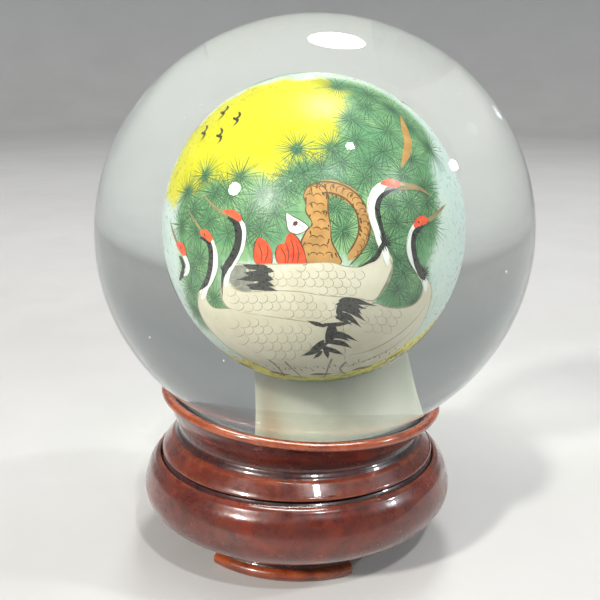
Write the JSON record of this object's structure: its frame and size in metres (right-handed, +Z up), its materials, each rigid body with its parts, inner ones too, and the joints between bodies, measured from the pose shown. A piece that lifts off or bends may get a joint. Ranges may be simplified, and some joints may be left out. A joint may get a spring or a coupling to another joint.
{
  "type": "crystal ball",
  "caption": "Clear glass ball painted inside with a landscape, seated in a turned lacquered wooden stand from which it lifts off and in which it turns.",
  "frame": {"origin": "on the floor under the centre of the ball", "axes": "+Z up, -Y towards the front, +X towards the viewer's right; the seat, and so the turning and lifting axis, leans 4 degrees from +Z towards +X"},
  "size_m": [0.0798, 0.0795, 0.0988],
  "materials": {
    "clear_glass": "polished",
    "scene_paint": "paint film",
    "white_paint": "paint film",
    "plug_plastic": "satin",
    "felt": "felt",
    "lacquered_wood": "high gloss lacquer"
  },
  "bodies": {
    "stand": {"stand_base": "lacquered_wood", "stand_cup": "lacquered_wood", "foot_front": "lacquered_wood", "foot_right": "lacquered_wood", "foot_left": "lacquered_wood"},
    "seat": {"seat_ring": "felt"},
    "globe": {"crystal_globe": "clear_glass", "scene_painting": "scene_paint", "white_backing": "white_paint", "neck_plug": "plug_plastic"}
  },
  "joints": [
    {"name": "globe_turn", "type": "hinge", "parent": "stand", "child": "seat", "pos_m": [0, 0, 0.06003], "axis": [0.0698, 0, 0.9976], "continuous": true},
    {"name": "globe_lift", "type": "slide", "parent": "seat", "child": "globe", "axis": [0.0698, 0, 0.9976], "range_m": [0, 0.03]}
  ]
}
